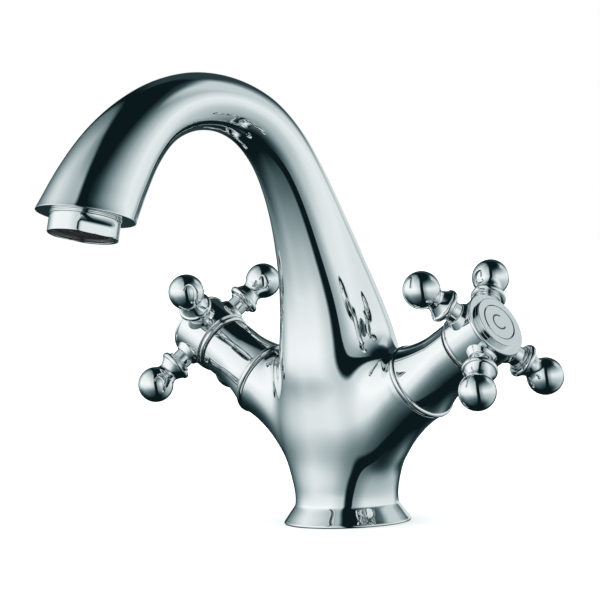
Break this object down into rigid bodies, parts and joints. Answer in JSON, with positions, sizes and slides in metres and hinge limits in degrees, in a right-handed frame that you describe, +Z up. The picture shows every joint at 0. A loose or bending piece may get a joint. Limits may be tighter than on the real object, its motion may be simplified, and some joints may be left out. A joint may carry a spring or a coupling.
{
  "type": "bathroom mixer faucet",
  "caption": "Deck-mounted basin mixer: a flared column with a gooseneck spout and two sloping side valves, each with a turning cross handle.",
  "frame": {"origin": "centre of the foot on the deck (worktop) that the mixer stands on", "axes": "+Z up, the spout reaches towards -Y, the cold valve is on +X and the hot valve on -X"},
  "size_m": [0.1814, 0.1838, 0.1759],
  "materials": {
    "chrome": "mirror-bright chrome plate over brass",
    "brass": "machined, unplated",
    "seal_rubber": "black nitrile rubber, smooth",
    "ceramic": "lapped white alumina ceramic",
    "white_plastic": "moulded white acetal",
    "dark_mesh": "dark stainless screen",
    "stainless": "turned stainless steel"
  },
  "bodies": {
    "body": {"body_casting": "chrome", "inlet_block": "brass", "base_seal_ring": "seal_rubber", "aerator_housing": "chrome", "aerator_insert": "white_plastic", "aerator_mesh": "dark_mesh", "aerator_washer": "seal_rubber", "cold_cartridge_body": "brass", "cold_cartridge_o_ring": "seal_rubber", "cold_seat_seal": "seal_rubber", "cold_fixed_disc": "ceramic", "cold_bonnet_cover": "chrome", "hot_cartridge_body": "brass", "hot_cartridge_o_ring": "seal_rubber", "hot_seat_seal": "seal_rubber", "hot_fixed_disc": "ceramic", "hot_bonnet_cover": "chrome"},
    "cold_handle": {"cold_moving_disc": "ceramic", "cold_spindle": "brass", "cold_spindle_o_rings": "seal_rubber", "cold_circlip": "stainless", "cold_handle_hub": "chrome", "cold_handle_screw": "stainless", "cold_index_cap": "chrome", "cold_cap_o_ring": "seal_rubber", "cold_handle_arm_1": "chrome", "cold_handle_arm_2": "chrome", "cold_handle_arm_3": "chrome", "cold_handle_arm_4": "chrome"},
    "hot_handle": {"hot_moving_disc": "ceramic", "hot_spindle": "brass", "hot_spindle_o_rings": "seal_rubber", "hot_circlip": "stainless", "hot_handle_hub": "chrome", "hot_handle_screw": "stainless", "hot_index_cap": "chrome", "hot_cap_o_ring": "seal_rubber", "hot_handle_arm_1": "chrome", "hot_handle_arm_2": "chrome", "hot_handle_arm_3": "chrome", "hot_handle_arm_4": "chrome"}
  },
  "joints": [
    {"name": "cold_handle_turn", "type": "hinge", "parent": "body", "child": "cold_handle", "pos_m": [0, 0, 0.0319], "axis": [-0.8599, 0, -0.5105], "range_deg": [0, 90]},
    {"name": "hot_handle_turn", "type": "hinge", "parent": "body", "child": "hot_handle", "pos_m": [0, 0, 0.0319], "axis": [-0.8599, 0, 0.5105], "range_deg": [0, 90]}
  ]
}
